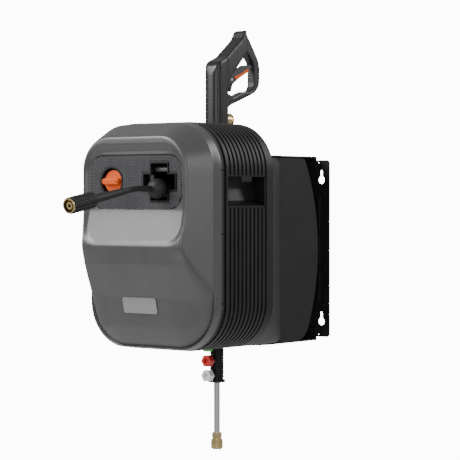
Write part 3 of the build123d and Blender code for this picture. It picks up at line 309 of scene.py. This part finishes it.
def depth(x, z):
    s = inset(x, z, RIM["hw"], RIM["z0"], RIM["z1"], RIM["r"], RIM["r"])
    # flank: straight and steep from the rim, with a crisp ridge that softens towards the bottom
    low = step((20 - z) / 150)
    flank = 462 + 2.04 * max(s, 0)
    if z >= 80:
        cap = 512.0
    elif z >= 12:
        cap = 512 + 9.5 * step((80 - z) / 68)
    elif z >= -20:
        cap = 521.5 - (12 - z) * 0.17
    elif z >= -82:
        cap = 516.0 + (z + 20) * 0.34
    else:
        cap = 494.9 + (z + 82) * 0.219
    bow = 12 * step((12 - z) / 32) + 20 * step(-z / 110)
    cap -= bow * max(0.0, (abs(x) - 60) / 92) ** 2
    cap -= 9 * step((-135 - z) / 45)
    k = 5 + 34 * low
    d = smin(flank, cap, k)
    # dish round the grille and the scoop that ramps forward to the lip
    q = inset(x, z, 127.5, 10.0, 205.0, 56, 44)
    if q > 0:
        floor = 505.0 if z > 80.6 else 505 + 15.8 * ((80.6 - z) / 68.0) ** 1.15
        t = step((q - 1.5) / 14.0)
        d = d * (1 - t) + min(floor, d) * t
    return d


def cover_skin():
    bm = bmesh.new()
    rings, seg = 120, 320
    cz = (RIM["z0"] + RIM["z1"]) / 2
    hh = (RIM["z1"] - RIM["z0"]) / 2

    def outline(grow):
        hw, h, r = RIM["hw"] + grow, hh + grow, max(RIM["r"] + grow, 2.0)
        pts = []
        total = 4 * (hw - r) + 4 * (h - r) + 2 * math.pi * r
        corner = [(hw - r, h - r, 0), (-(hw - r), h - r, 90), (-(hw - r), -(h - r), 180), (hw - r, -(h - r), 270)]
        raw = []
        for cx, cy, a0 in corner:
            for i in range(33):
                a = math.radians(a0 + 90 * i / 32)
                raw.append((cx + r * math.cos(a), cy + r * math.sin(a)))
        raw.append(raw[0])
        acc = [0.0]
        for (a, b), (c, d) in zip(raw, raw[1:]):
            acc.append(acc[-1] + math.hypot(c - a, d - b))
        j = 0
        for i in range(seg):
            t = acc[-1] * i / seg
            while acc[j + 1] < t:
                j += 1
            f = (t - acc[j]) / max(1e-9, acc[j + 1] - acc[j])
            pts.append((raw[j][0] * (1 - f) + raw[j + 1][0] * f, raw[j][1] * (1 - f) + raw[j + 1][1] * f))
        return pts

    base = outline(0)
    loops = []
    for grow, y in ((0.0, -433.3), (3.0, -433.0), (1.8, -445.0), (0.4, -458.0), (0.0, -461.0)):
        loops.append([bm.verts.new((x / 1000, y / 1000, (cz + z) / 1000)) for x, z in (base if grow == 0 and y < -434 else outline(grow))])
    grid = []
    for i in range(rings):
        f = 1 - (i / rings) ** 1.0
        if i < 26:
            f = 1 - 0.22 * (i / 26) ** 1.6
        else:
            f = 0.78 * (1 - (i - 26) / (rings - 26))
        ring = []
        for x, z in base:
            xx, zz = x * f, cz + z * f
            ring.append((xx, zz))
        grid.append(ring)
    for ring in grid:
        loops.append([bm.verts.new((x / 1000, -depth(x, z) / 1000, z / 1000)) for x, z in ring])
    for a, b in zip(loops, loops[1:]):
        for i in range(seg):
            j = (i + 1) % seg
            bm.faces.new((a[i], a[j], b[j], b[i]))
    c = bm.verts.new((0, -depth(0, cz) / 1000, cz / 1000))
    last = loops[-1]
    for i in range(seg):
        bm.faces.new((last[i], last[(i + 1) % seg], c))
    # window of the grille panel
    kill = [f for f in bm.faces if f.calc_center_median().y < -0.5 and
            inset(f.calc_center_median().x * 1000, f.calc_center_median().z * 1000, 112.0, 81.0, 183.0, 32, 32) > 1.0]
    bmesh.ops.delete(bm, geom=kill, context="FACES")
    bmesh.ops.recalc_face_normals(bm, faces=bm.faces)
    o = to_object(bm, "cover_skin")
    smooth_shade(o)
    so = o.modifiers.new("wall", "SOLIDIFY")
    so.thickness = 0.003
    so.offset = -1
    return give(o, "cover_grey", "housing")


skin = cover_skin()
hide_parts("front_cover")

# ------------------------------------------------------------------ woven grille: small diamond studs over the panel
def grille():
    x0, x1, z0, z1, R = -0.1125, 0.1125, 0.0806, 0.1834, 0.032
    pitch = 0.0056
    bm = bmesh.new()
    y = -0.505

    def inside(x, z, pad):
        cx = min(max(x, x0 + R), x1 - R)
        cz = min(max(z, z0 + R), z1 - R)
        if math.hypot(x - cx, z - cz) > R - pad:
            return False
        if x < x0 + pad or x > x1 - pad or z < z0 + pad or z > z1 - pad:
            return False
        if math.hypot(x + 0.0585, z - 0.1337) < 0.0271 + pad:
            return False
        if abs(x - 0.0585) < 0.0217 + pad and abs(z - 0.132) < 0.036 + pad:
            return False
        if abs(x - 0.0585) < 0.0397 + pad and abs(z - 0.132) < 0.0162 + pad:
            return False
        return True

    row = 0
    z = z0
    while z < z1:
        x = x0 + (pitch / 2 if row % 2 else 0)
        while x < x1:
            if inside(x, z, 0.0026):
                a = 0.0025
                h = 0.0013
                v = [bm.verts.new((x + dx, y + 0.0002, z + dz)) for dx, dz in ((-a, 0), (0, -a), (a, 0), (0, a))]
                t = [bm.verts.new((x + dx * 0.45, y - h, z + dz * 0.45)) for dx, dz in ((-a, 0), (0, -a), (a, 0), (0, a))]
                for i in range(4):
                    j = (i + 1) % 4
                    bm.faces.new((v[i], v[j], t[j], t[i]))
                bm.faces.new(t)
                bm.faces.new(v[::-1])
            x += pitch
        z += pitch / 2
        row += 1
    bmesh.ops.recalc_face_normals(bm, faces=bm.faces)
    me = bpy.data.meshes.new("grille_weave")
    bm.to_mesh(me)
    bm.free()
    o = give(link(bpy.data.objects.new("grille_weave", me)), "grille_dark", "housing")
    o.data.materials[0] = material("m_grille_stud", (0.14, 0.14, 0.15), rough=0.36, metallic=0.2, grain=0.2, grain_scale=1800)
    return o


grille()


# painted shade: thin black discs over the six cover screws stand in for the dark screw holes, which are not modelled
# as recesses
def paint_screw_hole_shade():
    bm = bmesh.new()
    for side in (-1, 1):
        for z in (0.154, 0.0367, -0.092):
            m = Matrix.Translation((side * 0.1525, -0.4385, z)) @ Matrix.Rotation(math.radians(90), 4, "Y")
            bmesh.ops.create_cone(bm, cap_ends=True, segments=24, radius1=0.0026, radius2=0.0026, depth=0.0008, matrix=m)
    # black discs on the side wall, painted shade where the shadowed screw holes are
    o = to_object(bm, "screw_holes_painted_shade")
    return give(o, "black_plastic", "housing")


paint_screw_hole_shade()

# ------------------------------------------------------------------ floor and light
fl = bmesh.new()
bmesh.ops.create_grid(fl, x_segments=1, y_segments=1, size=2.4)
me = bpy.data.meshes.new("floor")
fl.to_mesh(me)
fl.free()
floor = link(bpy.data.objects.new("floor", me))
floor.location = (0, 0, -1.15)
fm = material("m_floor", (0.86, 0.86, 0.86), rough=0.9, vary=0.01, grain=0.0, spec=0.1)
floor.data.materials.append(fm)

world = bpy.data.worlds.new("world")
scene.world = world
world.use_nodes = True
wn = world.node_tree
bg = wn.nodes["Background"]
bg.inputs[0].default_value = (1, 1, 1, 1)
bg.inputs[1].default_value = 0.36
bright = wn.nodes.new("ShaderNodeBackground")
bright.inputs[0].default_value = (1, 1, 1, 1)
bright.inputs[1].default_value = 12.0
path = wn.nodes.new("ShaderNodeLightPath")
mixw = wn.nodes.new("ShaderNodeMixShader")
wn.links.new(path.outputs["Is Camera Ray"], mixw.inputs[0])
wn.links.new(bg.outputs[0], mixw.inputs[1])
wn.links.new(bright.outputs[0], mixw.inputs[2])
wn.links.new(mixw.outputs[0], wn.nodes["World Output"].inputs[0])


def area(name, loc, target, size, power, color=(1, 1, 1)):
    d = bpy.data.lights.new(name, "AREA")
    d.shape = "RECTANGLE"
    d.size, d.size_y = size
    d.energy = power
    d.color = color
    o = link(bpy.data.objects.new(name, d))
    o.location = loc
    o.rotation_euler = (Vector(target) - Vector(loc)).to_track_quat("-Z", "Y").to_euler()
    return o


area("key", (-1.5, -2.3, 2.2), (0, -0.45, 0.05), (1.1, 1.1), 82)
area("fill", (2.1, -3.0, 0.5), (0, -0.45, 0.0), (1.2, 1.2), 20)
area("side", (2.6, -0.7, 0.9), (0.1, -0.3, 0.05), (0.5, 1.8), 11)
area("scoop", (-1.36, -2.13, 0.82), (0, -0.5, 0.05), (1.0, 0.6), 16)
area("rim", (1.6, 1.9, 1.6), (0, -0.2, 0.15), (0.6, 1.6), 30)
